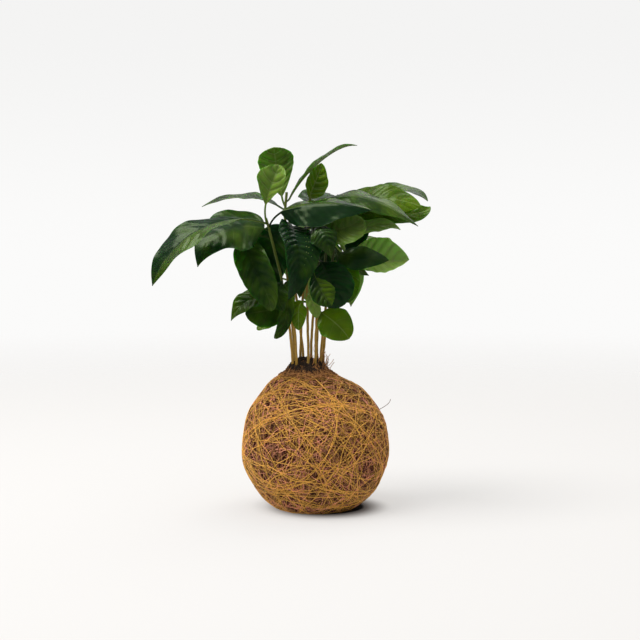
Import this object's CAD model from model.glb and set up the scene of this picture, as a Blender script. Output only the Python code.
"""A coir-wrapped kokedama: coffee seedlings growing from a soil ball bound with golden thread.

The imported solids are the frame. Each piece here dresses one or more of them at the same place.
Lengths are in millimetres until a mesh is made, and the origin is the flat spot under the ball.
"""
import math
from functools import partial, partialmethod

import bpy
import numpy as np
from bpy.props import FloatProperty, FloatVectorProperty, IntProperty, PointerProperty
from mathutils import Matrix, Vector


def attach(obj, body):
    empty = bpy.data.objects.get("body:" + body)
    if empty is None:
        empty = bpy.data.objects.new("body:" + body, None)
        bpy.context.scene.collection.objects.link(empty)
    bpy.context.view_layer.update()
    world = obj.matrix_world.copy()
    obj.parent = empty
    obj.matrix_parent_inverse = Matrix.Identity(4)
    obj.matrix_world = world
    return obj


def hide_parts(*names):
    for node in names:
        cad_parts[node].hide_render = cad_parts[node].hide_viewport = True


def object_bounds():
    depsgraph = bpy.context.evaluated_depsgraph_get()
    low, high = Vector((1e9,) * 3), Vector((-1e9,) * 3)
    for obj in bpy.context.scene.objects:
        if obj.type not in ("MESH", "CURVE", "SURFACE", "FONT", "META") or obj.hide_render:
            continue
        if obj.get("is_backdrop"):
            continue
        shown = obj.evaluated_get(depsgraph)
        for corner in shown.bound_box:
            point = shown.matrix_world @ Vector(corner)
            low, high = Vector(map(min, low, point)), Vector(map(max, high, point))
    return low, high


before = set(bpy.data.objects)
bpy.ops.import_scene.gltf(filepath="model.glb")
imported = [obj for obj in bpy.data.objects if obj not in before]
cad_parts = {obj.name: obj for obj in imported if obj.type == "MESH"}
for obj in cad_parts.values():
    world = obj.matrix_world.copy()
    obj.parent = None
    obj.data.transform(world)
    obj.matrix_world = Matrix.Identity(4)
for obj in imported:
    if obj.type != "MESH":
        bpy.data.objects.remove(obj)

bl_info = {
    "name": "Coir-Wrapped Kokedama",
    "version": (1, 0, 0),
    "blender": (4, 5, 0),
    "location": "3D View > Sidebar > Kokedama",
    "description": "Coir wrap, binding thread, soil, stems and leaves of a string-bound plant ball",
    "category": "Object",
}

CAD_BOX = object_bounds()
MM = 0.001
SEED = 20

# The ball
BALL_RADIUS = 55.0
BALL_CENTRE = np.array((0.0, 0.0, 47.7))
LEAN_X, LEAN_Z = -1.1, -1.5  # the ball is fuller low down and on its left
DENTS = 0.8  # depth of the hollows that the tight thread leaves
COLLAR_X, COLLAR_RISE, COLLAR_SPREAD = -0.26, 6.0, 0.42  # the wrap gathers higher round the stems
WRAP_THICKNESS = 4.0
TURN_CLEARANCE = math.radians(16)  # angle by which a turn of thread passes the opening
NECK_X, NECK_RADIUS = -6.8, 16.2  # opening that the stems come out of
MOUND_RADIUS, MOUND_FOOT, MOUND_SHOULDER, MOUND_TOP = 15.6, 86.0, 105.0, 113.5
MOUND_WALL, DOME_FOOT, DOME_ROWS = (96.0, 101.0), MOUND_SHOULDER - 3, 22
CRUMBS_FROM, CRUMBS_TILT = 0.099, -0.1  # height in metres, and how steep soil still holds crumbs
WISPS, WISP_POINTS, HAIRS = 760, 7, 26  # fibres and rootlets over the neck

# Thread that shows as bundles on the front: the bearing and height of a loop's axis, how far the
# loop lies from a great circle, all in degrees, then how many turns lie side by side
BUNDLES = (
    (110, 58, 7, 4), (99, 42, -6, 3), (-6, 43, 8, 2), (180, 28, 6, 2), (-164, 30, -4, 2),
    (93, 50, -46, 2), (-11, 18, -34, 5), (44, 36, 9, 3), (-127, 24, 41, 2), (-70, 65, -21, 3),
    (-47, 60, -20, 3), (114, 75, -1, 1), (6, 33, -36, 2), (-112, 13, -1, 2), (-178, 33, 4, 1),
    (166, 34, -36, 1), (-6, 45, -1, 1), (20, 70, -28, 4), (70, 84, -36, 4),
)

# The stems and leaves
STEM_FOOT, STEM_BOTTOM, STEM_TOP = 92.0, 1.45, 1.0
NODE_SWELL, NODE_REACH = 0.28, 1.6  # a stem is swollen where a leaf leaves it
TIP_TAPER = np.array((1.0, 0.9, 0.75, 0.55, 0.35, 0.12))
BLADE_RIPPLES, BLADE_LAG = 16.0, 2.2
STALK_ROWS, ROW_STEP = 9, 0.9
BLADE_COLUMNS, CROWDING = 31, math.pi / 2 * 0.92  # the mesh's columns crowd towards the edges
VEIN_SLANT, VEIN_CURVE = 0.20, 1.4  # side veins run forward from the midrib to the edge
GROOVE_HALF, GROOVE_ABOVE, RIDGE_BELOW = 0.55, 0.28, 0.62  # along the midrib
STALK_HALF, STALK_THICK, STALK_SEAT = 0.8, 1.5, 0.3  # the solid stalks' measures
FINE_STALK_HALF, FINE_STALK_DEPTH = 0.75, 0.72

# Each seedling's stem, at four heights from its foot in the soil to its growing tip
STEMS = {
    "stem_01": ((-17, -7.5), (-19.5, -9, 135), (-26, -13, 175), (-37, -17, 219)),
    "stem_02": ((-15.4, 2), (-18, 2, 138), (-22.5, 1, 188), (-22, 1, 238)),
    "stem_03": ((-11.6, 6), (-11, 7, 140), (-8, 8, 188), (-4.5, 9, 234)),
    "stem_04": ((1, 8), (1.5, 8, 140), (7, 10, 188), (17, 13, 236)),
    "stem_05": ((3.4, -3), (5, -4, 132), (10, -5, 170), (15, -5, 208)),
    "stem_06": ((-13.4, -9), (-16, -10, 136), (-18.5, -12, 178), (-19.5, -14, 220)),
    "stem_07": ((-6, -10.5), (-6, -12, 134), (-7, -14, 174), (-8, -17, 213)),
    "stem_08": ((-0.6, -7.5), (0, -10, 128), (1, -13, 162), (2, -16, 196)),
    "stem_09": ((-3.6, 2.5), (-3, 7, 134), (0, 15, 174), (4, 22, 212)),
    "stem_10": ((-8.4, 10.5), (-12, 16, 134), (-17, 24, 170), (-20, 30, 204)),
    "stem_11": ((4.6, 4), (7, 6, 130), (13, 12, 166), (20, 20, 200)),
}

# How high up a stem the green young wood begins, and over how many millimetres it greens
YOUNG_FROM, YOUNG_OVER = 150, 45
YOUNG_LOWER = {"stem_01": 128, "stem_11": 130}

# The dark that stems age to in the leaves' shade, which is strongest on the stems in the middle
AGED = (0.020, 0.026, 0.008)
AGED_FROM, AGED_OVER, AGED_MOST, AGED_INNER = 145, 25, 0.4, 0.85
INNER = ("stem_04", "stem_05", "stem_08", "stem_09", "stem_10", "stem_11")

USUAL = {
    "fold": 8, "wave": 1.2, "stalk": 6, "belly": 0.5, "point": 1.0, "quilt": 1.0, "spacing": 6.5,
    "left": 0.0, "right": 0.0, "tip": 0.0, "pale": 0.0,
}
SEED_POINT = 0.55


def true_leaf(at, near, middle, tip_point, width, face, shade, **own):
    """A leaf's measures, with the usual ones where it has none of its own."""
    route = (near, middle, tip_point)
    return {**USUAL, "at": at, "route": route, "width": width, "face": face, "shade": shade, **own}


def seed_leaf(*measures, **own):
    """A leaf of a seedling's first pair, which is round."""
    return true_leaf(*measures, point=SEED_POINT, **own)


# Each leaf starts beside its stem at a height. Its midrib runs through three more points, the last at
# its tip. Then come its width, the way that its upper face looks, and its shade, which runs from the
# darkest green at 0 to the brightest and changes by some on its left half, its right half and at its tip.
# Each half folds up by some degrees, and its edge waves. Its belly is where it is widest, and a higher
# point makes its ends sharper. It may be some way to the pale green of its lower face. Its side veins
# leave the midrib some millimetres apart, and the blade quilts between them.
LEAVES = {
    "leaf_1a": true_leaf(214, (-65, -38, 218), (-96, -52, 204), (-117, -57.5, 171.5), 27,
        (-0.1, -0.5, 0.85), 0.04, fold=6, wave=1.8, belly=0.58, stalk=20, point=0.95, left=0.24,
        quilt=0.5, spacing=11),
    "leaf_1b": true_leaf(211, (-54, -20, 213), (-74, -30, 206), (-86, -38, 184), 46, (-0.2, -0.7, 0.65),
        0.22, fold=-8, wave=1.6, stalk=3, belly=0.38, quilt=0.7, spacing=9, right=-0.05),
    "leaf_1c": true_leaf(216, (-37, -20, 228.5), (-33, -22, 242.5), (-26.5, -19, 258), 25,
        (-0.35, -0.9, 0.2), 0.58, fold=25, wave=0.8, stalk=14, belly=0.68, point=0.7, pale=0.35,
        right=0.2, quilt=1.9, spacing=6),
    "leaf_1d": true_leaf(212, (-20, -22, 226), (10, -30, 230), (41, -34, 225), 38, (0, -0.6, 0.8), 0.3,
        fold=-28, stalk=20, belly=0.38, right=-0.5, quilt=0.3),
    "leaf_1e": true_leaf(204, (-52, -12, 201), (-42, -25, 176.5), (-33, -28, 151), 26, (-0.15, -1, 0.1),
        0.28, fold=14, wave=1.6, stalk=22, belly=0.44, point=0.7, quilt=1.4, spacing=7),
    "leaf_1f": true_leaf(172, (-27, -19, 168), (-27.5, -24, 160.5), (-23.5, -23, 150.5), 16,
        (0.3, -1, 0.1), 0.15, fold=10, wave=0.6, stalk=3, point=0.8),
    "leaf_2a": true_leaf(228, (-26.5, 4, 239.5), (-29.5, 8, 255.5), (-31.5, 3, 271.5), 28, (0.1, -1, 0.1),
        0.62, wave=0.8, stalk=10, belly=0.75, fold=12, point=0.35, pale=0.3, right=-0.1, quilt=2.6,
        spacing=5),
    "leaf_2b": true_leaf(230, (-11.5, 5, 246), (8, 9, 265), (31, 12, 273), 24, (-0.6, 0.05, 0.8), 0.18,
        fold=10, wave=0.8, point=0.9, quilt=0.9, spacing=6),
    "leaf_2c": true_leaf(224, (-41, 6, 233), (-63, 10, 234), (-86, 8, 227), 26, (0, -0.14, 1), 0.26,
        fold=6, wave=1, quilt=0.9, spacing=6),
    "leaf_2d": true_leaf(160, (-40, -12, 160), (-53, -16, 156), (-63, -18, 143), 22, (-0.2, -0.6, 0.75),
        0.42, wave=1),
    "seed_leaf_2a": seed_leaf(154, (-28, -3, 151), (-40, -5, 149), (-53, -6, 147), 26, (-0.1, -0.95, 0.3),
        0.3, fold=0, wave=0.8, quilt=0.5),
    "leaf_3a": true_leaf(229, (-3.5, 16, 238), (0.5, 23, 248.5), (4, 28, 260), 21, (0.5, -0.85, 0.1),
        0.74, fold=25, wave=0.8, belly=0.42, point=0.7, left=0.2, quilt=1.8, spacing=5.5),
    "leaf_3b": true_leaf(226, (18, -2, 235), (44.5, -12, 231.5), (75.5, -18, 213), 26, (0.1, -0.5, 0.85),
        0.22, fold=-12, wave=1.4, point=0.95, tip=0.1, quilt=0.25),
    "leaf_3c": true_leaf(222, (0, 20, 228), (2, 34, 233.5), (11, 50, 236.5), 31, (0, -0.45, 0.9), 0.1,
        fold=10, wave=1.4, belly=0.55),
    "leaf_4a": true_leaf(231, (34, 38, 234), (53.5, 48, 239.5), (69, 50, 238.5), 20, (0, -0.25, 1), 0.34,
        wave=1.4, point=0.8, quilt=1.1, spacing=6),
    "leaf_4b": true_leaf(227, (33, 8, 232), (55.5, 2, 233), (78.5, -2, 227), 30, (0.1, -0.8, 0.6), 0.58,
        fold=-8, point=0.75, quilt=0.8, spacing=7),
    "leaf_4c": true_leaf(233, (41, 21, 235), (65.5, 24, 239.5), (85, 20, 231), 24, (0.2, -0.3, 0.9), 0.26,
        point=0.8, quilt=0.5),
    "leaf_4d": true_leaf(222, (36.5, 12, 223), (66.5, 11, 221.5), (86.5, 13, 227), 22, (0, -0.8, 0.6),
        0.6, point=0.8, quilt=0.8),
    "leaf_4e": true_leaf(225, (24, 30, 227), (33, 46, 227), (42, 62, 214), 28, (0.2, 0.15, 1), 0.4,
        fold=10, wave=1.4),
    "leaf_5a": true_leaf(205, (27, -2, 208), (46, -2, 213), (63, -4, 210), 17, (0, -0.6, 0.8), 1.4,
        wave=0.8, pale=1.4),
    "leaf_5b": true_leaf(199, (27, -4, 189.5), (48.5, -4, 186.5), (69.5, -8, 188), 37, (0.1, -0.82, 0.57),
        0.9, wave=0.5, belly=0.5, fold=32, point=0.7, stalk=16, right=0.3, pale=1.3, quilt=2.6,
        spacing=6),
    "leaf_5c": true_leaf(196, (20.5, -19, 191.5), (34.5, -26, 190.5), (53.5, -28, 188.5), 20,
        (0.1, -0.88, 0.45), 0.14, fold=-8, wave=0.8, point=0.8, quilt=0.15),
    "leaf_5d": true_leaf(191, (20, 6, 187), (29, 9, 181), (40, 9, 175), 18, (0.4, -0.5, 0.8), 0.3, fold=6,
        wave=0.8),
    "leaf_5e": true_leaf(205, (17, 5, 203), (27, 10.5, 205), (40, 13, 213), 34, (0.1, -0.95, 0.4), 0.0,
        fold=6, wave=1, point=0.65, stalk=3, belly=0.31, quilt=0.2),
    "leaf_5f": true_leaf(186, (20, -2, 183), (23, -5, 170), (24, -6, 155.5), 21, (0.1, -1, 0.2), 0.52,
        fold=8, wave=0.8, point=0.6),
    "leaf_6a": true_leaf(215, (-14, -34, 205.5), (-12, -44, 188), (-20, -43, 160.5), 36,
        (0.5, -0.85, 0.3), -0.18, fold=20, wave=1.6, belly=0.34, point=0.8, left=0.05, tip=0.3, quilt=1.8,
        spacing=5),
    "leaf_6b": true_leaf(212, (-28, -7, 206), (-33, -4, 188), (-30, -3, 164), 30, (-0.2, -1, 0.15), 0.08,
        fold=6, point=0.8),
    "leaf_6c": true_leaf(172, (-20.6, -16.6, 166), (-22, -18.6, 147), (-31, -18.6, 130), 12,
        (-0.3, -0.9, 0.1), 0.26, fold=10, wave=0.4, point=0.5),
    "leaf_7a": true_leaf(210, (3.5, -24, 209.5), (20, -28, 212), (33, -26, 220), 30, (0.1, -0.9, 0.45),
        0.46, fold=14, belly=0.66, point=0.7, pale=0.3, quilt=1.2, spacing=5),
    "leaf_7b": true_leaf(212, (1, -35, 211.5), (7, -42, 205), (11, -42, 191), 22, (0, -0.8, 0.5), 0.16,
        fold=-20, wave=1, quilt=1.2, spacing=5),
    "leaf_7c": true_leaf(198, (-9.5, -21.5, 196), (-11, -21, 182), (-12, -20.5, 160), 20, (0, -1, 0.2),
        0.05, fold=0, wave=0.5, point=0.8, belly=0.42),
    "seed_leaf_7a": seed_leaf(162, (-4, -17, 160), (-1, -19, 153), (1, -18, 145), 10, (0.3, -0.9, 0.2),
        0.85, fold=0, wave=0.4, stalk=3, pale=0.8),
    "seed_leaf_7b": seed_leaf(157, (-12, -17, 155), (-13, -19, 147), (-13, -18, 136), 12, (0, -1, 0.1),
        0.7, fold=0, wave=0.4, stalk=4),
    "leaf_8a": true_leaf(188, (6.5, -24, 183.5), (11, -30, 171), (9.5, -28, 153.5), 34, (0.15, -1, 0.3),
        -0.06, fold=12, wave=1.2, belly=0.6, point=0.55, stalk=9, quilt=1.8, spacing=4.5),
    "leaf_8b": true_leaf(193, (-3, -33, 185), (2.5, -40, 169.5), (11.5, -41, 156), 19, (0.2, -1, 0.3),
        0.16, wave=0.6, stalk=28, point=0.8, left=0.25, quilt=2.0, spacing=4),
    "seed_leaf_8a": seed_leaf(150, (7, -17, 147), (16, -20, 140), (24.5, -20, 129.5), 27,
        (0.2, -0.95, 0.35), 0.62, fold=-6, wave=1, left=0.1, quilt=0.3, spacing=8),
    "leaf_9a": true_leaf(207, (-6, 38, 214.5), (-9, 54, 215), (-8, 70, 202), 36, (0, 0.2, 1), 0.3,
        fold=10, wave=1.4, belly=0.4),
    "leaf_9b": true_leaf(178, (-8, 30, 180), (-8, 42, 170), (-6, 48, 152), 30, (-0.1, 0.9, 0.6), 0.25,
        fold=6, point=0.8),
    "leaf_9c": true_leaf(202, (7, 27, 195), (9.5, 29, 183), (12.5, 28, 161), 24, (0.2, -1, 0.2), 0.05,
        point=0.7, stalk=9, belly=0.4),
    "leaf_10a": true_leaf(200, (-34, 40, 206), (-50, 50, 203), (-62, 54, 194), 30, (-0.2, 0.2, 1), 0.3,
        fold=10, wave=1.4),
    "leaf_10b": true_leaf(196, (-20, 46, 199), (-17, 58, 186), (-14, 60, 164), 34, (0, 1, 0.4), 0.25,
        wave=1.4, point=0.8),
    "leaf_10c": true_leaf(168, (-30, 30, 172), (-42, 34, 168), (-50, 38, 156), 24, (-0.2, 0.2, 1), 0.35,
        wave=1),
    "seed_leaf_10a": seed_leaf(146, (-26, 14, 145), (-36, 10, 140), (-45, 8, 134), 14, (-0.2, -0.6, 0.8),
        0.8, fold=0, wave=0.5),
    "leaf_11a": true_leaf(196, (36, 28, 203), (50, 38, 198), (60, 46, 186), 28, (0.2, 0.1, 1), 0.35,
        fold=10, wave=1.4),
    "leaf_11b": true_leaf(190, (25, 33, 188), (27.5, 39, 173), (27, 39, 149), 20, (0.2, 1, 0.5), 0.25,
        belly=0.6),
}
for leaf_name, measures in LEAVES.items():
    measures["stem"] = f"stem_{int(leaf_name.split('_')[-1][:-1]):02d}"

# The stage
CAMERA_TARGET = (3.0, 0.0, 142.0)
CAMERA_DISTANCE = 1205.0
CAMERA_PITCH = math.radians(5.0)
FLOOR_SPAN = 1600.0

# In metres: the middle of the dark line of contact under the ball, how far from it the line ends, how
# far from it the floor begins to give light, and how far from the origin the floor fades away
CONTACT, CONTACT_END = (0.009, -0.002, 0.0), (0.0255, 0.0285)
GLOW_START, FLOOR_FADE = (0.027, 0.050), (0.45, 1.5)

# Each soft light's place, the height over the origin that it points at, and its power in watts
LIGHTS = {
    "softbox": ((-0.60, -0.18, 1.55), 0.14, 28.0),
    "back_light": ((0.5, 0.9, 1.3), 0.2, 4.0),
}


# The plant ball's settings


def a_length(name, default, description):
    return FloatProperty(name=name, description=description, default=default, subtype="DISTANCE")


def a_colour(name, default, description):
    return FloatVectorProperty(name=name, description=description, default=default, subtype="COLOR")


def a_count(name, default, description):
    return IntProperty(name=name, description=description, default=default, min=0)


def an_amount(name, default, description, **limits):
    return FloatProperty(name=name, description=description, default=default, **{"min": 0.0, **limits})


class WrapSettings(bpy.types.PropertyGroup):
    """The coir felt round the soil, and the loose fibres of its surface."""

    fibres: a_count("Fibres", 5200, "Coir fibres on the surface")
    fibre_radius: a_length("Fibre radius", 0.00024, "Half a coir fibre's thickness")
    lumps: a_length("Lumps", 0.0004, "Height of the felt's lumps")
    colour: a_colour("Coir", (1.0, 0.42, 0.25), "Colour of the fibres")
    depth_colour: a_colour("Gaps", (0.042, 0.010, 0.004), "Colour deep in the felt")


class ThreadSettings(bpy.types.PropertyGroup):
    """The golden binding thread."""

    turns: a_count("Turns", 66, "Turns that lie anyhow")
    strands: a_count("Strands", 600, "Short fine strands")
    radius: a_length("Radius", 0.00018, "Half the thread's thickness")
    colour: a_colour("Thread", (1.0, 0.53, 0.095), "Colour of the thread")


class SoilSettings(bpy.types.PropertyGroup):
    """The soil that shows in the opening."""

    crumbs: an_amount("Crumbs", 900000.0, "Crumbs on each square metre of soil")
    crumb_size: a_length("Crumb size", 0.0007, "Radius of an average crumb")
    colour: a_colour("Soil", (0.028, 0.017, 0.011), "Colour of the soil")
    rootlets: a_colour("Rootlets", (0.68, 0.32, 0.12), "Colour of the fibres at the neck")


class StemSettings(bpy.types.PropertyGroup):
    """The seedlings' woody stems."""

    girth: an_amount("Girth", 0.74, "Thickness against the solid stem's", min=0.1, max=1.0)
    bark: a_colour("Bark", (0.46, 0.27, 0.045), "Colour of the bark")
    green: a_colour("Green wood", (0.15, 0.19, 0.026), "Colour of the young wood")


class LeafSettings(bpy.types.PropertyGroup):
    """The glossy coffee leaves."""

    thickness: a_length("Thickness", 0.0004, "A blade's thickness")
    quilting: a_length("Quilting", 0.0010, "Rise of the blade between its side veins")
    dark: a_colour("Dark", (0.004, 0.018, 0.006), "Upper face of the darkest leaf")
    bright: a_colour("Bright", (0.095, 0.165, 0.004), "Upper face of the brightest leaf")
    vein: a_colour("Vein", (0.24, 0.31, 0.11), "Colour of the midrib")


class StageSettings(bpy.types.PropertyGroup):
    """The floor, the light and the camera."""

    floor: a_colour("Floor", (0.26, 0.254, 0.248), "Colour of the floor")
    glow: an_amount("Glow", 0.51, "Light that the floor itself gives")
    sky: an_amount("Sky", 1.0, "Strength of the even light")
    backdrop: an_amount("Backdrop", 0.905, "Brightness behind the object")
    lens: an_amount("Lens", 89.97, "Focal length in millimetres", min=1.0)


class KokedamaSettings(bpy.types.PropertyGroup):
    """All the settings of the plant ball."""

    wrap: PointerProperty(type=WrapSettings)
    thread: PointerProperty(type=ThreadSettings)
    soil: PointerProperty(type=SoilSettings)
    stems: PointerProperty(type=StemSettings)
    leaves: PointerProperty(type=LeafSettings)
    stage: PointerProperty(type=StageSettings)


# Node trees


class Value:
    """What a node gives. Sums with it add the nodes that work them out.

    NumPy's functions call its methods, so that one formula serves for arrays and for nodes.
    """

    def __init__(self, socket):
        self.socket = socket
        self.tree = socket.id_data

    def maths(self, operation, *others):
        vector = self.socket.type in ("VECTOR", "RGBA")
        kind = "ShaderNodeVectorMath" if vector else "ShaderNodeMath"
        return output(self.tree, kind, self, *others, setting={"operation": operation})

    __add__ = partialmethod(maths, "ADD")
    __sub__ = partialmethod(maths, "SUBTRACT")
    __mul__ = partialmethod(maths, "MULTIPLY")
    __gt__ = partialmethod(maths, "GREATER_THAN")
    sin = partialmethod(maths, "SINE")
    cos = partialmethod(maths, "COSINE")
    exp = partialmethod(maths, "EXPONENT")
    sqrt = partialmethod(maths, "SQRT")
    arctan2 = partialmethod(maths, "ARCTAN2")


def give(socket, value):
    """Sets an input to a plain value, or links it to what another node gives."""
    if isinstance(value, Value):
        socket.id_data.links.new(value.socket, socket)
    elif socket.type == "RGBA" and len(value) == 3:
        socket.default_value = (*value, 1.0)
    else:
        socket.default_value = value


def add_node(tree, kind, *values, setting=None, **named):
    """A node whose inputs are given values in order, or by name."""
    node = tree.nodes.new(kind)
    for key, value in (setting or {}).items():
        setattr(node, key, value)
    usable = [socket for socket in node.inputs if socket.enabled]
    for socket, value in zip(usable, values):
        give(socket, value)
    for key, value in named.items():
        give(next(socket for socket in usable if socket.name.lower() == key.replace("_", " ")), value)
    return node


def output(tree, kind, *values, pick=None, **rest):
    """What a new node gives first in its mode, or what it gives under a name."""
    sockets = add_node(tree, kind, *values, **rest).outputs
    return Value(sockets[pick] if pick else next(socket for socket in sockets if socket.enabled))


def split(vector):
    """A vector's three numbers."""
    return [Value(socket) for socket in add_node(vector.tree, "ShaderNodeSeparateXYZ", vector).outputs]


def ramp(value, low, high, to_low=0.0, to_high=1.0):
    """A value's smooth change from to_low at low to to_high at high."""
    setting = {"interpolation_type": "SMOOTHSTEP"}
    return output(value.tree, "ShaderNodeMapRange", value, low, high, to_low, to_high, setting=setting)


def blend(share, first, second, kind="RGBA"):
    """A colour between two colours, or a number between two numbers."""
    return output(share.tree, "ShaderNodeMix", share, first, second, setting={"data_type": kind})


def new_tree(name, *sizes):
    """A Geometry Nodes tree, and what it is given: a geometry and its named sizes."""
    tree = bpy.data.node_groups.new(name, "GeometryNodeTree")
    tree.interface.new_socket(name="Geometry", in_out="INPUT", socket_type="NodeSocketGeometry")
    tree.interface.new_socket(name="Geometry", in_out="OUTPUT", socket_type="NodeSocketGeometry")
    for size in sizes:
        tree.interface.new_socket(name=size, in_out="INPUT", socket_type="NodeSocketFloat")
    return tree, {socket.name: Value(socket) for socket in tree.nodes.new("NodeGroupInput").outputs}


def end_tree(geometry, material):
    """Ends a tree in real geometry that has its material."""
    tree = geometry.tree
    real = output(tree, "GeometryNodeRealizeInstances", geometry)
    smooth = output(tree, "GeometryNodeSetShadeSmooth", real)
    painted = output(tree, "GeometryNodeSetMaterial", smooth, material=material)
    give(tree.nodes.new("NodeGroupOutput").inputs[0], painted)
    return tree


def end_in_tubes(curves, thick, sides, radius, material):
    """Ends a tree in tubes along its curves."""
    tree = curves.tree
    sized = output(tree, "GeometryNodeSetCurveRadius", curves, radius=thick)
    section = output(tree, "GeometryNodeCurvePrimitiveCircle", resolution=sides, radius=radius)
    return end_tree(output(tree, "GeometryNodeCurveToMesh", sized, section, fill_caps=True), material)


def own_value(tree, key, kind="FLOAT"):
    """What each point of a plan holds under a name."""
    return output(tree, "GeometryNodeInputNamedAttribute", key, setting={"data_type": kind})


def grow(name, base, tree, sizes):
    """The plain mesh that a tree makes of a base object, as a new object."""
    modifier = base.modifiers.new(tree.name, "NODES")
    modifier.node_group = tree
    for item in tree.interface.items_tree:
        if item.item_type == "SOCKET" and item.in_out == "INPUT" and item.name in sizes:
            modifier[item.identifier] = sizes[item.name]
    bpy.context.view_layer.update()
    graph = bpy.context.evaluated_depsgraph_get()
    grown = base.evaluated_get(graph)
    mesh = bpy.data.meshes.new_from_object(grown, preserve_all_data_layers=True, depsgraph=graph)
    base.modifiers.remove(modifier)
    bpy.data.objects.remove(base)
    if not mesh.polygons:
        raise RuntimeError(f"{name} came out empty")
    return add_object(name, mesh)


# Meshes


def add_object(name, mesh):
    mesh.name = name
    thing = bpy.data.objects.new(name, mesh)
    bpy.context.scene.collection.objects.link(thing)
    return thing


def mesh_object(name, points, faces=(), edges=(), material=None, **attributes):
    """An object made of points in millimetres, with a value at each point for each attribute."""
    mesh = bpy.data.meshes.new(name)
    mesh.from_pydata((np.asarray(points) * MM).tolist(), edges, faces)
    for key, values in attributes.items():
        values = np.asarray(values, dtype=np.float32)
        kind, field = ("FLOAT_VECTOR", "vector") if values.ndim == 2 else ("FLOAT", "value")
        mesh.attributes.new(key, kind, "POINT").data.foreach_set(field, values.ravel())
    if material:
        mesh.materials.append(material)
    mesh.update()
    mesh.shade_smooth()
    return add_object(name, mesh)


def settle(piece, slot, *nodes):
    """Rides a piece on the plant ball in place of its solids."""
    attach(piece, "root")
    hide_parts(*nodes)


def grid_faces(rows, columns, offset=0, wrapped=False, flip=False):
    """Quads of a grid of points that is listed row by row."""
    wide = columns if wrapped else columns - 1
    row, column = np.meshgrid(np.arange(rows - 1), np.arange(wide), indexing="ij")
    beside = (column + 1) % columns
    quads = [row * columns + column, row * columns + beside]
    quads += [(row + 1) * columns + beside, (row + 1) * columns + column]
    faces = np.stack(quads, axis=-1).reshape(-1, 4) + offset
    return (faces[:, ::-1] if flip else faces).tolist()


def closed_faces(rows, around):
    """Quads of rings that are joined all round, and a face over each end."""
    ends = [list(range(around))[::-1], list(range((rows - 1) * around, rows * around))]
    return grid_faces(rows, around, wrapped=True) + ends


def unit(directions):
    return directions / np.linalg.norm(directions, axis=-1, keepdims=True)


def waves(points, length, draw, count=14):
    """A smooth random height between about -1 and 1, with waves of about one length."""
    heights = np.zeros(points.shape[:-1])
    for _ in range(count):
        way = unit(draw.normal(size=3))
        pitch = 2 * np.pi / (length * draw.uniform(0.7, 1.6))
        heights += np.sin(points @ way * pitch + draw.uniform(0, 2 * np.pi))
    return heights / math.sqrt(count)


def bezier(points, steps):
    """Points along a curve through four points, and its tangents."""
    a, b, c, d = [np.asarray(point, dtype=float) for point in points]
    first = (-5 * a + 18 * b - 9 * c + 2 * d) / 6
    second = (2 * a - 9 * b + 18 * c - 5 * d) / 6
    t = np.asarray(steps)[:, None]
    s = 1 - t
    place = s**3 * a + 3 * s**2 * t * first + 3 * s * t**2 * second + t**3 * d
    slope = 3 * s**2 * (first - a) + 6 * s * t * (second - first) + 3 * t**2 * (d - second)
    return place, unit(slope)


# The ball's form


def ball_radius(x, y, z):
    """Distance from the ball's centre to the outside of the coir, along a unit direction.

    The direction's parts are arrays, or values in a node tree.
    """
    around = np.arctan2(y, x)
    level = np.sqrt(x * x + y * y)
    lumps = np.sin(around * 3.0 + 1.2) * 0.9 * level * level
    sway = np.cos(around * 2.0 - 0.5) * 0.8 * level * z
    from_collar = (x - COLLAR_X) * (x - COLLAR_X) + y * y
    collar = np.exp(from_collar * (-(COLLAR_SPREAD**-2))) * COLLAR_RISE * (z > 0.0)
    dents = np.sin(x * 9.0 + 1.0) * DENTS * np.sin(z * 8.0 + 0.5) * np.cos(y * 7.0)
    return lumps + sway + collar + dents + (x * LEAN_X + z * LEAN_Z + BALL_RADIUS)


def ball_points(way, over=0.0, floor=0.0):
    """Points that stand over the coir by some height, and no lower than a floor."""
    points = BALL_CENTRE + way * (ball_radius(*np.moveaxis(way, -1, 0)) + over)[..., None]
    points[..., 2] = np.maximum(points[..., 2], floor)
    return points


def ways(downs, around):
    """Unit directions at angles from straight up, and all round."""
    fall, turn = np.meshgrid(downs, np.linspace(0, 2 * np.pi, around, endpoint=False), indexing="ij")
    return np.stack([np.sin(fall) * np.cos(turn), np.sin(fall) * np.sin(turn), np.cos(fall)], axis=-1)


NECK_WAY = unit(np.array((NECK_X, 0.0, 54.0)))


def neck_angle(directions):
    """Angle of each unit direction from the opening's."""
    return np.arccos(np.clip(directions @ NECK_WAY, -1, 1))


# Materials


def new_material(name, roughness, gloss=0.5, bounce=0.0):
    """A material, its node tree and its shader's inputs."""
    material = bpy.data.materials.new(name)
    material.use_nodes = True
    inputs = material.node_tree.nodes["Principled BSDF"].inputs
    inputs["Roughness"].default_value = roughness
    inputs["Specular IOR Level"].default_value = gloss
    inputs["Subsurface Weight"].default_value = bounce
    return material, material.node_tree, inputs


def attribute(tree, name):
    """A value that a mesh holds at its points."""
    return output(tree, "ShaderNodeAttribute", pick="Fac", setting={"attribute_name": name})


def object_place(tree):
    return output(tree, "ShaderNodeTexCoord", pick="Object")


def object_noise(tree, scale, detail=4.0):
    """Noise fixed to the object."""
    return output(tree, "ShaderNodeTexNoise", vector=object_place(tree), scale=scale, detail=detail)


def roughen(inputs, height, strength, distance):
    """Gives a shader small bumps."""
    bump = output(height.tree, "ShaderNodeBump", strength=strength, distance=distance, height=height)
    give(inputs["Normal"], bump)


def shaded(colour, share):
    return tuple(channel * share for channel in colour)


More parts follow.
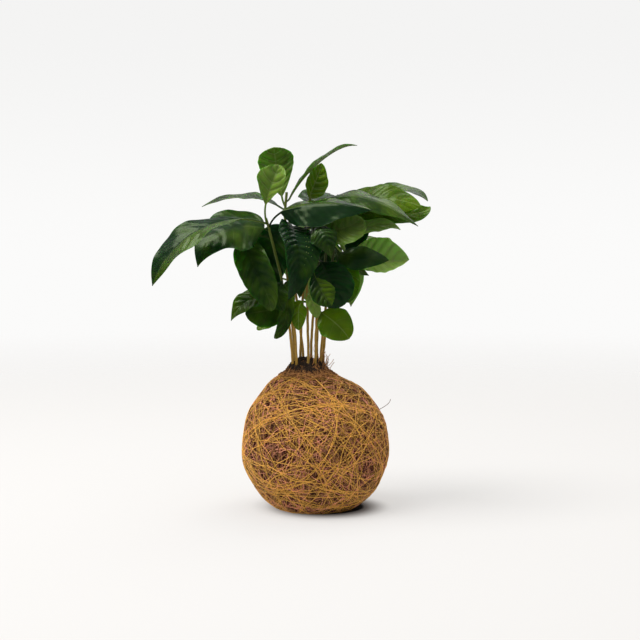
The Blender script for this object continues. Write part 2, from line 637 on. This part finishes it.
def coir_felt(settings):
    """Deep matted coir: dark gaps among reddish fibres."""
    material, tree, inputs = new_material("coir_felt", 0.95, gloss=0.05)
    fine = object_noise(tree, 1400.0, 6.0)
    patches = object_noise(tree, 90.0, 3.0)
    share = ramp(fine, 0.42, 0.62) * ramp(patches, 0.2, 0.7, 0.1, 0.4)
    give(inputs["Base Color"], blend(share, settings.depth_colour, settings.colour))
    roughen(inputs, fine, 0.8, 0.0004)
    return material


def fibre(name, colour, dark_share, roughness=0.75, gloss=0.1):
    """Strands whose tint runs from dark to full colour."""
    material, tree, inputs = new_material(name, roughness, gloss=gloss)
    share = attribute(tree, "tint") + (object_noise(tree, 700.0) * 0.5 - 0.25)
    give(inputs["Base Color"], blend(ramp(share, 0.0, 1.0), shaded(colour, dark_share), colour))
    return material


def soil_material(settings):
    """Damp dark soil with lighter specks."""
    material, tree, inputs = new_material("damp_soil", 0.8, gloss=0.2)
    share = ramp(object_noise(tree, 900.0), 0.45, 0.75)
    give(inputs["Base Color"], blend(share, settings.colour, shaded(settings.colour, 3.2)))
    return material


def stem_material(settings):
    """Tan bark with darker flecks, greener where the wood is young and dark where it is aged."""
    material, tree, inputs = new_material("bark", 0.5, gloss=0.25)
    flecks = ramp(object_noise(tree, 1100.0, 5.0), 0.52, 0.68)
    patches = object_noise(tree, 160.0)
    bark = blend(flecks * 0.6, settings.bark, shaded(settings.bark, 0.35))
    young = ramp(attribute(tree, "young") + patches * 0.2, 0.3, 0.9)
    grown = blend(young, bark, settings.green)
    give(inputs["Base Color"], blend(attribute(tree, "aged"), grown, AGED))
    roughen(inputs, flecks, 0.5, 0.0002)
    return material


def leaf_material(settings):
    """A glossy blade: pale midrib, faint side veins, mottled green, paler below."""
    material, tree, inputs = new_material("coffee_leaf", 0.22, gloss=0.12, bounce=0.5)
    inputs["Specular Tint"].default_value = (0.72, 0.95, 0.45, 1.0)
    inputs["Subsurface Radius"].default_value = (0.4, 1.0, 0.15)
    inputs["Subsurface Scale"].default_value = 0.0012
    across = attribute(tree, "across")
    shade = attribute(tree, "shade") + (object_noise(tree, 60.0, 3.0) * 0.9 - 0.45)
    green = blend(ramp(shade, 0.0, 1.0), settings.dark, settings.bright)
    pale = tuple(0.5 * low + 0.85 * high for low, high in zip(settings.bright, settings.vein))
    face = blend(attribute(tree, "under") * 0.6, green, pale)
    from_vein = attribute(tree, "vein").maths("FRACT").maths("PINGPONG", 0.5)
    clear = ramp(shade, 0.1, 0.8)
    side_vein = ramp(from_vein, 0.06, 0.0) * attribute(tree, "veined")
    veined = blend(side_vein * clear, face, settings.vein)
    rib = ramp(across, 0.06, 0.015) * 0.36
    give(inputs["Base Color"], blend(rib * clear, veined, settings.vein))
    roughen(inputs, object_noise(tree, 85.0, 1.0), 0.32, 0.0034)
    return material


# Strands on the ball: thread and coir


def between(first, second, angle):
    """The first of two directions at right angles, turned by an angle towards the second."""
    return first.maths("SCALE", np.cos(angle)) + second.maths("SCALE", np.sin(angle))


def strand_tree(name, material, sides, steps):
    """Strands that lie on the ball, each along part of a circle about its own axis."""
    tree, given = new_tree(name, "Radius", "Wander", "Floor", "Dip")
    plan = output(tree, "GeometryNodeMeshToPoints", given["Geometry"])
    line = output(tree, "GeometryNodeCurvePrimitiveLine", end=(1.0, 0.0, 0.0))
    divided = output(tree, "GeometryNodeResampleCurve", line, count=steps)
    laid = output(tree, "GeometryNodeInstanceOnPoints", plan, instance=divided)
    strands = output(tree, "GeometryNodeRealizeInstances", laid)

    half_turns = split(output(tree, "GeometryNodeInputPosition"))[0] - 0.5
    axis, across = own_value(tree, "axis", "FLOAT_VECTOR"), own_value(tree, "across", "FLOAT_VECTOR")
    around = between(across, axis.maths("CROSS_PRODUCT", across), half_turns * own_value(tree, "sweep"))
    way = between(around, axis, own_value(tree, "offset"))
    noise = output(
        tree, "ShaderNodeTexNoise", pick="Color", setting={"noise_dimensions": "4D"},
        vector=way, w=own_value(tree, "phase"), scale=2.5, detail=1.5,
    )
    drift = (noise - (0.5, 0.5, 0.5)).maths("SCALE", given["Wander"] * own_value(tree, "loose"))
    bent = (way + drift).maths("NORMALIZE")

    to_end = (half_turns * 2.0).maths("ABSOLUTE").maths("POWER", 6.0)
    height = own_value(tree, "lift") - to_end * given["Dip"]
    reach = ball_radius(*split(bent)) * MM + height
    x, y, z = split(bent.maths("SCALE", reach) + tuple(BALL_CENTRE * MM))
    level = output(tree, "ShaderNodeCombineXYZ", x, y, z.maths("MAXIMUM", given["Floor"]))
    curled = output(tree, "GeometryNodeSetPosition", strands, position=level)
    thick = own_value(tree, "thick") * (to_end * -0.5 + 1.0)
    return end_in_tubes(curled, thick, sides, given["Radius"], material)


def strand_plan(name, axes, offsets, sweeps, draw, lift, thick, loose, tint):
    """One point for each strand, which holds how it lies."""
    count = len(axes)
    across = unit(np.cross(axes, draw.normal(size=(count, 3))))
    phase = draw.uniform(0, 100, count)
    return mesh_object(
        name, np.zeros((count, 3)), axis=axes, across=across, offset=offsets, sweep=sweeps, phase=phase,
        lift=lift * MM, thick=thick, loose=loose, tint=tint,
    )


def thread_turns(settings, draw):
    """Axes and offsets of the thread's turns: the bundles, then turns that lie anyhow."""
    axes, offsets = [], []
    for bearing, rise, offset, count in BUNDLES:
        for turn in range(count):
            a = math.radians(bearing + draw.normal(0, 1.6))
            b = math.radians(rise + draw.normal(0, 1.6))
            axes.append((math.cos(b) * math.cos(a), math.cos(b) * math.sin(a), math.sin(b)))
            offsets.append(math.radians(offset + 1.5 * (turn - (count - 1) / 2) + draw.normal(0, 0.5)))
    wanted = len(axes) + settings.turns
    while len(axes) < wanted:
        axis = unit(draw.normal(size=3))
        offset = math.radians(draw.normal(0, 20))
        if abs(math.pi / 2 - neck_angle(axis) - offset) > TURN_CLEARANCE:
            axes.append(axis)
            offsets.append(offset)
    return np.array(axes), np.array(offsets)


def short_strands(name, count, draw, clear, reach, tint, **ranges):
    """A plan of short strands anywhere on the ball but the opening."""
    middles = unit(draw.normal(size=(count * 2, 3)))
    middles = middles[neck_angle(middles) > math.radians(clear)][:count]
    axes = unit(np.cross(middles, draw.normal(size=middles.shape)))
    sweeps = np.radians(draw.uniform(*reach, len(axes)))
    look = {key: draw.uniform(*limits, len(axes)) for key, limits in ranges.items()}
    plan = strand_plan(name, axes, np.zeros(len(axes)), sweeps, draw, **look, tint=tint(len(axes)))
    plan.data.attributes["across"].data.foreach_set("vector", middles.astype(np.float32).ravel())
    return plan


class KOKEDAMA_OT_wrap(bpy.types.Operator):
    """Lays the coir felt round the soil, open at the neck"""

    bl_idname = "kokedama.wrap"
    bl_label = "Coir wrap"

    def execute(self, context):
        settings = context.scene.kokedama.wrap
        draw = np.random.default_rng(SEED)
        around, pole = 180, math.pi - 0.02
        rim = math.asin(NECK_RADIUS / (BALL_RADIUS + COLLAR_RISE + LEAN_Z))
        side = unit(np.cross((0.0, 1.0, 0.0), NECK_WAY))
        turned = np.stack([side, np.cross(NECK_WAY, side), NECK_WAY], axis=-1)
        outer_ways = ways(np.linspace(pole, rim, 90), around) @ turned.T
        inner_ways = ways(np.linspace(rim + 0.02, pole, 24), around) @ turned.T
        outer = ball_points(outer_ways)
        lumps = settings.lumps / MM * waves(outer, 7.0, draw) + 0.25 * waves(outer, 2.4, draw)
        outer = ball_points(outer_ways, lumps - 1.5, 0.4)
        inner = ball_points(inner_ways, -WRAP_THICKNESS, WRAP_THICKNESS)
        shell = np.concatenate([outer, inner])
        faces = closed_faces(len(shell), around)
        felt = mesh_object("wrap_felt", shell.reshape(-1, 3), faces, material=coir_felt(settings))
        settle(felt, "coir", "coir_wrap")
        return {"FINISHED"}


class KOKEDAMA_OT_fibres(bpy.types.Operator):
    """Scatters loose coir fibres over the felt"""

    bl_idname = "kokedama.fibres"
    bl_label = "Coir fibres"

    def execute(self, context):
        settings = context.scene.kokedama.wrap
        tree = strand_tree("coir_fibres", fibre("coir_fibre", settings.colour, 0.06), sides=3, steps=7)
        sizes = {"Radius": settings.fibre_radius, "Wander": 0.34, "Floor": 0.0006, "Dip": 0.0008}
        for layer in range(2):
            draw = np.random.default_rng(SEED + 1 + layer)
            plan = short_strands(
                f"fibre_plan_{layer}", settings.fibres // 2, draw, clear=14.5, reach=(7, 26),
                lift=(-0.9, 0.8), thick=(0.6, 1.4), loose=(0.3, 1.6), tint=partial(draw.beta, 0.7, 0.9),
            )
            settle(grow(f"coir_fibres_{layer + 1}", plan, tree, sizes), "coir", "coir_wrap")
        return {"FINISHED"}


class KOKEDAMA_OT_thread(bpy.types.Operator):
    """Winds the golden thread round the ball"""

    bl_idname = "kokedama.thread"
    bl_label = "Binding thread"

    def execute(self, context):
        settings = context.scene.kokedama.thread
        draw = np.random.default_rng(SEED + 5)
        material = fibre("golden_thread", settings.colour, 0.22, roughness=0.45, gloss=0.3)
        turns = strand_tree("thread_turns", material, sides=5, steps=88)
        axes, offsets = thread_turns(settings, draw)
        count = len(axes)
        plan = strand_plan(
            "turn_plan", axes, offsets, np.full(count, 2 * math.pi + 0.02), draw,
            lift=0.35 + 0.7 * draw.permutation(np.arange(count) / count),
            thick=draw.uniform(0.6, 1.1, count),
            loose=draw.uniform(0.6, 2.2, count),
            tint=draw.uniform(0.3, 1.15, count),
        )
        sizes = {"Radius": settings.radius, "Wander": 0.13, "Floor": 0.0004, "Dip": 0.0}
        settle(grow("thread_turns", plan, turns, sizes), "thread", "binding_thread")

        strands = strand_tree("thread_strands", material, sides=3, steps=14)
        plan = short_strands(
            "strand_plan", settings.strands, draw, clear=17, reach=(22, 75),
            lift=(0.0, 0.6), thick=(0.45, 0.8), loose=(0.6, 2.2), tint=partial(draw.uniform, 0.1, 0.95),
        )
        sizes = {"Radius": settings.radius, "Wander": 0.12, "Floor": 0.0005, "Dip": 0.0007}
        settle(grow("thread_strands", plan, strands, sizes), "thread", "binding_thread")
        return {"FINISHED"}


# Soil, and the fibres at the neck


def mound_mesh(draw):
    """The soil: a mound in the opening, and its foot inside the wrap."""
    around = 96
    turn = np.linspace(0, 2 * np.pi, around, endpoint=False)
    climb = np.arange(1, DOME_ROWS) / DOME_ROWS * math.pi / 2
    dome_radius = MOUND_RADIUS * np.cos(climb) ** 0.8
    dome_height = DOME_FOOT + (MOUND_TOP - MOUND_SHOULDER + 2) * np.sin(climb)
    radius = np.array((0.6, *[MOUND_RADIUS] * 3, *dome_radius, 0.3))
    height = np.array((MOUND_FOOT, MOUND_FOOT, *MOUND_WALL, *dome_height, MOUND_TOP - 1))
    x, y = NECK_X + np.outer(radius, np.cos(turn)), np.outer(radius, np.sin(turn))
    points = np.stack([x, y, np.repeat(height[:, None], around, axis=1)], axis=-1)
    points[3:, :, 2] += 0.8 * waves(points[3:], 7.0, draw) + 0.3 * waves(points[3:], 2.0, draw)
    return points.reshape(-1, 3), closed_faces(len(radius), around)


def crumb_tree(material):
    """Crumbs scattered over a surface where it faces up."""
    tree, given = new_tree("soil_crumbs", "Density", "Size")

    def random_vector(low, high, seed):
        setting = {"data_type": "FLOAT_VECTOR"}
        return output(tree, "FunctionNodeRandomValue", min=low, max=high, seed=seed, setting=setting)

    upward = split(output(tree, "GeometryNodeInputNormal"))[2]
    height = split(output(tree, "GeometryNodeInputPosition"))[2]
    density = given["Density"] * ((height > CRUMBS_FROM) * (upward > CRUMBS_TILT))
    kind = "GeometryNodeDistributePointsOnFaces"
    scatter = output(tree, kind, given["Geometry"], pick="Points", density=density, seed=SEED)
    crumb = output(tree, "GeometryNodeMeshIcoSphere", radius=given["Size"], subdivisions=2)
    turned = random_vector((0.0, 0.0, 0.0), (6.3, 6.3, 6.3), 1)
    scaled = random_vector((0.3, 0.3, 0.3), (1.5, 1.3, 1.0), 2)
    kind = "GeometryNodeInstanceOnPoints"
    crumbs = output(tree, kind, scatter, instance=crumb, rotation=turned, scale=scaled)
    real = output(tree, "GeometryNodeRealizeInstances", crumbs)
    noise = output(tree, "ShaderNodeTexNoise", pick="Color", scale=900.0, detail=1.0)
    shift = (noise - (0.5, 0.5, 0.5)).maths("SCALE", 0.001)
    return end_tree(output(tree, "GeometryNodeSetPosition", real, offset=shift), material)


def path_tree(name, material, sides):
    """Tubes along paths, as thick as each point of a path says."""
    tree, given = new_tree(name, "Radius")
    paths = output(tree, "GeometryNodeMeshToCurve", given["Geometry"])
    return end_in_tubes(paths, own_value(tree, "thick"), sides, given["Radius"], material)


def path_mesh(name, paths, **attributes):
    """Paths in millimetres as one object of points and edges."""
    edges, first = [], 0
    for path in paths:
        edges += [(first + k, first + k + 1) for k in range(len(path) - 1)]
        first += len(path)
    return mesh_object(name, np.vstack(paths), edges=edges, **attributes)


def neck_point(radius, turn, lift):
    """A point over the coir beside the opening, or over the soil inside it."""
    x, y = NECK_X + radius * math.cos(turn), radius * math.sin(turn)
    if radius > MOUND_RADIUS:
        return ball_points(unit(np.array((x, y, MOUND_SHOULDER - BALL_CENTRE[2]))), lift)
    dome = math.sqrt(1 - (radius / MOUND_RADIUS) ** 2)
    return np.array((x, y, DOME_FOOT + (MOUND_TOP - MOUND_SHOULDER) * dome + lift))


def neck_wisps(draw):
    """Coir fibres and rootlets that climb from the wrap over the soil: paths, thicknesses, tints."""
    steps = np.linspace(0, 1, WISP_POINTS)
    for _ in range(WISPS):
        turn = draw.uniform(0, 2 * np.pi)
        drift = draw.normal(0, 0.55)
        foot = draw.uniform(15.5, 25.0)
        climb = draw.uniform(3.0, 15.0) * (1 - 0.35 * math.cos(turn - 2.6))
        lift = draw.uniform(0.2, 1.4)
        shares = (0.0, 0.3, 0.65, 1.0)
        knots = [neck_point(max(foot - share * climb, 0.5), turn + drift * share, lift) for share in shares]
        path, _ = bezier(knots, steps)
        path[1:-1] += draw.normal(0, 0.3, (WISP_POINTS - 2, 3))
        thick = draw.uniform(0.5, 1.1) * (1 - 0.5 * steps)
        yield path, thick, np.full(WISP_POINTS, draw.uniform(0.0, 1.0))


def stray_hairs(draw):
    """Fine hairs that stand up beside the stems, and a dark one on the ball's right."""
    steps = np.linspace(0, 1, WISP_POINTS)
    for _ in range(HAIRS):
        turn = draw.uniform(-1.6, 1.0)
        knots = [neck_point(draw.uniform(9, 17), turn, 0.0)]
        for _ in range(3):
            knots.append(knots[-1] + draw.normal((0.5, 0.0, 3.2), (1.7, 1.2, 1.2)))
        tint = draw.uniform(0.3, 1.0)
        yield bezier(knots, steps)[0], np.full(WISP_POINTS, 0.25), np.full(WISP_POINTS, tint)
    dark, _ = bezier([(46.5, 0, 73), (50, 0, 75.2), (54.2, 0, 78), (56.4, 0, 81.8)], steps)
    yield dark, np.full(WISP_POINTS, 0.6), np.zeros(WISP_POINTS)


class KOKEDAMA_OT_soil(bpy.types.Operator):
    """Heaps the soil in the opening, with crumbs and rootlets"""

    bl_idname = "kokedama.soil"
    bl_label = "Soil"

    def execute(self, context):
        settings = context.scene.kokedama.soil
        draw = np.random.default_rng(SEED + 9)
        points, faces = mound_mesh(draw)
        material = soil_material(settings)
        settle(mesh_object("soil_mound", points, faces, material=material), "soil", "soil")
        base = mesh_object("crumb_base", points, faces)
        sizes = {"Density": settings.crumbs, "Size": settings.crumb_size}
        settle(grow("soil_crumbs", base, crumb_tree(material), sizes), "soil", "soil")

        paths, thick, tint = zip(*neck_wisps(draw), *stray_hairs(draw))
        plan = path_mesh("wisp_plan", paths, thick=np.concatenate(thick), tint=np.concatenate(tint))
        tree = path_tree("neck_fibres", fibre("rootlets", settings.rootlets, 0.22), 3)
        sizes = {"Radius": context.scene.kokedama.wrap.fibre_radius}
        settle(grow("neck_fibres", plan, tree, sizes), "coir", "coir_wrap")
        return {"FINISHED"}


# Stems


def stem_curve(name, steps):
    (x, y), *rest = STEMS[name]
    return bezier([(x, y, STEM_FOOT), *rest], steps)[0]


def stem_path(name, girth, draw):
    """A stem's path, its thickness, swollen where leaves leave it, and how green and aged it is."""
    steps = np.linspace(0, 1, 90)
    path = stem_curve(name, steps)
    thick = (STEM_BOTTOM + (STEM_TOP - STEM_BOTTOM) * steps) * girth
    for leaf in LEAVES.values():
        if leaf["stem"] == name:
            thick = thick + NODE_SWELL * np.exp(-(((path[:, 2] - leaf["at"]) / NODE_REACH) ** 2))
    thick *= 1 + 0.05 * waves(path, 6.0, draw)
    thick[-len(TIP_TAPER):] *= TIP_TAPER
    path[1:-1, :2] += 0.12 * np.stack([waves(path[1:-1], 9.0, draw), waves(path[1:-1], 9.0, draw)], axis=-1)
    young = np.clip((path[:, 2] - YOUNG_LOWER.get(name, YOUNG_FROM)) / YOUNG_OVER, 0, 1)
    most = AGED_INNER if name in INNER else AGED_MOST
    aged = np.clip((path[:, 2] - AGED_FROM) / AGED_OVER, draw.uniform(0, AGED_MOST), most)
    return path, thick, young, aged


class KOKEDAMA_OT_stems(bpy.types.Operator):
    """Raises the seedlings' stems out of the soil"""

    bl_idname = "kokedama.stems"
    bl_label = "Stems"

    def execute(self, context):
        settings = context.scene.kokedama.stems
        tree = path_tree("stems", stem_material(settings), 14)
        draw = np.random.default_rng(SEED + 13)
        for name in STEMS:
            path, thick, young, aged = stem_path(name, settings.girth, draw)
            plan = path_mesh(f"{name}_path", [path], thick=thick, young=young, aged=aged)
            settle(grow(f"fine_{name}", plan, tree, {"Radius": MM}), "stem", name)
        return {"FINISHED"}


# Leaves


def leaf_start(leaf):
    """Where a leaf's stalk leaves its stem, the stem's radius there and the way out from it."""
    steps = np.linspace(0, 1, 101)
    places = stem_curve(leaf["stem"], steps)
    k = int(np.argmin(np.abs(places[:, 2] - leaf["at"])))
    out = np.array(leaf["route"][0], dtype=float) - places[k]
    out[2] = 0
    return places[k], STEM_BOTTOM + (STEM_TOP - STEM_BOTTOM) * steps[k], unit(out)


def outline(ahead, leaf):
    """Share of a blade's half width, from its foot to its tip."""
    bulge = np.sin(np.pi * ahead ** (math.log(0.5) / math.log(leaf["belly"])))
    return np.clip(bulge, 0, 1) ** leaf["point"]


def leaf_frame(leaf, tangents):
    """Directions of a blade's upper face and of its left side along its midrib."""
    face = np.array(leaf["face"], dtype=float)
    upper = unit(face - tangents * (tangents @ face)[:, None])
    return upper, np.cross(tangents, upper)


def leaf_knots(leaf):
    """The four points of a leaf's midrib, and how far back into the stem its stalk grows."""
    near, radius, out = leaf_start(leaf)
    route = [np.array(point, dtype=float) for point in leaf["route"]]
    _, tangent = bezier([near + out * (STALK_HALF + STEM_BOTTOM), *route], [0.0])
    upper, sideways = leaf_frame(leaf, tangent)
    corner = STALK_HALF * abs(sideways[0] @ out) + STALK_THICK / 2 * abs(upper[0] @ out)
    seat = radius + STALK_SEAT + corner
    return [near + out * seat, *route], out * (seat - radius * 0.3)


def edge_faces(rows, columns):
    """Quads that join the edges of an upper face's grid to those of the lower face's after it."""
    faces = []
    count, wide, last = rows * columns, columns - 1, (rows - 1) * columns
    for a in range(0, last, columns):
        b = a + columns
        faces.append([count + a, a, b, count + b])
        faces.append([a + wide, count + a + wide, count + b + wide, b + wide])
    for k in range(wide):
        faces.append([k, count + k, count + k + 1, k + 1])
        faces.append([last + k, last + k + 1, count + last + k + 1, count + last + k])
    return faces


def blade(leaf, settings, phase):
    """A leaf's points, quads and values: an upper and a lower face, closed round the edge."""
    knots, inward = leaf_knots(leaf)
    dense, _ = bezier(knots, np.linspace(0, 1, 200))
    length = np.linalg.norm(np.diff(dense, axis=0), axis=1).sum()
    foot = leaf["stalk"] / length
    blade_rows = max(30, int(length / ROW_STEP))
    along = np.concatenate([np.linspace(-1, 0, STALK_ROWS, endpoint=False), np.linspace(0, 1, blade_rows)])
    along = along[:, None]
    ahead, behind = np.maximum(along, 0), np.maximum(-along, 0)
    t = np.where(along < 0, (along + 1) * foot, foot + (1 - foot) * ahead)
    centre, tangent = bezier(knots, t.ravel())
    upper, sideways = leaf_frame(leaf, tangent)
    centre = centre - inward * behind**2

    # How wide it is, and where its side veins run
    v = np.sin(np.linspace(-1, 1, BLADE_COLUMNS) * CROWDING)[None, :] / math.sin(CROWDING)
    side = np.abs(v)
    grown = np.where(along < 0, 0, outline(ahead, leaf))
    pairs = max(4, round(length * (1 - foot) / leaf["spacing"]))
    vein = (ahead - VEIN_SLANT * side**VEIN_CURVE) * pairs
    edge = 1 + 0.012 * np.cos(2 * math.pi * vein[:, [0, -1]]).mean(axis=1, keepdims=True) * grown
    stalk_half = FINE_STALK_HALF * (1 + 0.35 * behind**4) * (1 - ahead * 0.65)
    half = np.maximum(stalk_half, leaf["width"] / 2 * grown * edge)

    # How it folds, waves and quilts
    fold = math.radians(leaf["fold"])
    ripple = np.sin(BLADE_RIPPLES * ahead + phase + np.where(v < 0, BLADE_LAG, 0))
    crease = np.sqrt(side**2 + 0.006) - math.sqrt(0.006)
    spread = np.sin(math.pi * np.minimum(side, 1) ** 0.8) ** 0.6
    puff = (np.abs(np.sin(math.pi * vein)) ** 0.7 - 0.55) * spread * grown
    frill = np.cos(2 * math.pi * vein + 0.8 * phase) * side**5 * grown
    rise = crease * half * math.sin(fold) + leaf["wave"] * grown * side**2 * ripple
    rise = rise + leaf["quilt"] * (settings.quilting / MM * puff + 0.12 * frill)

    # How thick it is, with a groove along the midrib above, and a ridge and side veins below
    wide = np.minimum(ahead * 7, 1)
    rounded = np.sqrt(np.clip(1 - v**2, 0, 1))
    depth = (1 - wide) * FINE_STALK_DEPTH * rounded + wide * settings.thickness / MM / 2 * np.sqrt(rounded)
    groove = np.exp(-((v * half / GROOVE_HALF) ** 2)) * wide * np.clip((1 - along) * 3, 0, 1)
    lower_veins = np.clip(1 - np.abs((vein + 0.5) % 1 - 0.5) * pairs * 0.9, 0, 1) * spread * wide
    base = centre[:, None, :] + sideways[:, None, :] * (v * half * math.cos(fold))[..., None]
    lower = rise - depth - RIDGE_BELOW * groove - 0.12 * lower_veins
    heights = (rise + depth - GROOVE_ABOVE * groove, lower)
    points = np.concatenate([base + upper[:, None, :] * height[..., None] for height in heights])

    rows, columns = vein.shape
    count = rows * columns
    faces = grid_faces(rows, columns) + grid_faces(rows, columns, offset=count, flip=True)
    halves = np.where(v < 0, leaf["left"], leaf["right"]) * np.minimum(side * 6, 1)
    values = {
        "across": side * np.clip(half / 9, 0.3, 1),
        "vein": np.where(along > 0, vein, 0.5),
        "shade": leaf["shade"] + halves + leaf["tip"] * ahead + 0.10 * leaf["quilt"] * puff,
        "veined": np.full(vein.shape, min(0.35 * leaf["quilt"], 1.0)),
    }
    values = {key: np.tile(value.ravel(), 2) for key, value in values.items()}
    values["under"] = np.repeat((leaf["pale"], 1.0), count)
    return points.reshape(-1, 3), faces + edge_faces(rows, columns), values


class KOKEDAMA_OT_leaves(bpy.types.Operator):
    """Grows the glossy leaves on their stems"""

    bl_idname = "kokedama.leaves"
    bl_label = "Leaves"

    def execute(self, context):
        settings = context.scene.kokedama.leaves
        material = leaf_material(settings)
        for phase, (name, leaf) in enumerate(LEAVES.items()):
            points, faces, values = blade(leaf, settings, phase)
            piece = mesh_object(f"fine_{name}", points, faces, material=material, **values)
            settle(piece, "seed_leaf" if name.startswith("seed_leaf") else "leaf", name)
        return {"FINISHED"}


# Stage


def soft_light(name, place, height, power):
    """A round light a metre across."""
    light = bpy.data.lights.new(name, "AREA")
    light.shape = "DISK"
    light.size = 1.0
    light.energy = power
    lamp = bpy.data.objects.new(name, light)
    lamp.location = place
    lamp.rotation_euler = (Vector((0.0, 0.0, height)) - Vector(place)).to_track_quat("-Z", "Y").to_euler()
    bpy.context.scene.collection.objects.link(lamp)


def studio(settings):
    """Even pale surroundings whose light comes mostly from above and behind."""
    world = bpy.data.worlds.new("studio")
    world.use_nodes = True
    tree = world.node_tree
    _, y, z = split(output(tree, "ShaderNodeTexCoord", pick="Generated"))
    light = ramp(y, -0.9, 0.7, 0.24, 0.40) + ramp(z, 0.1, 0.95) * 0.65
    grade = ramp(z, -0.05, 0.10, settings.backdrop + 0.06, settings.backdrop)
    seen = output(tree, "ShaderNodeLightPath", pick="Is Camera Ray")
    inputs = tree.nodes["Background"].inputs
    inputs["Color"].default_value = (1.0, 0.997, 0.99, 1.0)
    give(inputs["Strength"], blend(seen, light * settings.sky, grade, kind="FLOAT"))
    return world


def floor_material(settings):
    """A pale floor, lit from below away from the ball, that fades into the backdrop."""
    material, tree, inputs = new_material("pale_floor", 0.9, gloss=0.1)
    place = object_place(tree)
    beside = place.maths("DISTANCE", CONTACT)
    give(inputs["Base Color"], blend(ramp(beside, *CONTACT_END), (0.01, 0.01, 0.01), settings.floor))
    give(inputs["Alpha"], ramp(place.maths("LENGTH"), *FLOOR_FADE, 1.0, 0.0))
    inputs["Emission Color"].default_value = (1.0, 0.985, 0.965, 1.0)
    give(inputs["Emission Strength"], ramp(beside, *GLOW_START, 0.0, settings.glow))
    return material


class KOKEDAMA_OT_stage(bpy.types.Operator):
    """Sets the floor, the soft light and the camera"""

    bl_idname = "kokedama.stage"
    bl_label = "Stage"

    def execute(self, context):
        settings = context.scene.kokedama.stage
        scene = context.scene
        far = FLOOR_SPAN
        corners = [(-far, -far, 0), (far, -far, 0), (far, far, 0), (-far, far, 0)]
        mesh_object("floor", corners, [(0, 1, 2, 3)], material=floor_material(settings))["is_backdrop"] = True

        scene.world = studio(settings)
        for name, light in LIGHTS.items():
            soft_light(name, *light)

        scene.view_settings.view_transform = "Standard"
        camera = bpy.data.cameras.new("camera")
        camera.sensor_width = 36.0
        camera.lens = settings.lens
        camera.clip_start = 0.01
        camera.clip_end = 100.0
        viewer = bpy.data.objects.new("camera", camera)
        back = Vector((0.0, -math.cos(CAMERA_PITCH), math.sin(CAMERA_PITCH)))
        viewer.location = Vector(CAMERA_TARGET) * MM + back * CAMERA_DISTANCE * MM
        viewer.rotation_euler = (-back).to_track_quat("-Z", "Y").to_euler()
        scene.collection.objects.link(viewer)
        scene.camera = viewer
        return {"FINISHED"}


class KOKEDAMA_PT_panel(bpy.types.Panel):
    """Lists the steps that dress the plant ball"""

    bl_label = "Kokedama"
    bl_idname = "KOKEDAMA_PT_panel"
    bl_space_type = "VIEW_3D"
    bl_region_type = "UI"
    bl_category = "Kokedama"

    def draw(self, context):
        for step in STEPS:
            self.layout.operator(step.bl_idname)
        for group in KokedamaSettings.__annotations__:
            settings = getattr(context.scene.kokedama, group)
            box = self.layout.box()
            for key in settings.__annotations__:
                box.prop(settings, key)


STEPS = (
    KOKEDAMA_OT_wrap, KOKEDAMA_OT_fibres, KOKEDAMA_OT_thread, KOKEDAMA_OT_soil,
    KOKEDAMA_OT_stems, KOKEDAMA_OT_leaves, KOKEDAMA_OT_stage,
)
CLASSES = (
    WrapSettings, ThreadSettings, SoilSettings, StemSettings, LeafSettings, StageSettings,
    KokedamaSettings, *STEPS, KOKEDAMA_PT_panel,
)


def register():
    for kind in CLASSES:
        bpy.utils.register_class(kind)
    bpy.types.Scene.kokedama = PointerProperty(type=KokedamaSettings)


def unregister():
    del bpy.types.Scene.kokedama
    for kind in reversed(CLASSES):
        bpy.utils.unregister_class(kind)


def main():
    """Dresses the plant ball, then notes the two boxes."""
    register()
    bpy.ops.kokedama.wrap()
    bpy.ops.kokedama.fibres()
    bpy.ops.kokedama.thread()
    bpy.ops.kokedama.soil()
    bpy.ops.kokedama.stems()
    bpy.ops.kokedama.leaves()
    bpy.ops.kokedama.stage()
    boxes = {"cad": CAD_BOX, "visual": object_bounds()}
    {key: [list(corner) for corner in box] for key, box in boxes.items()}


if __name__ == "__main__":
    main()
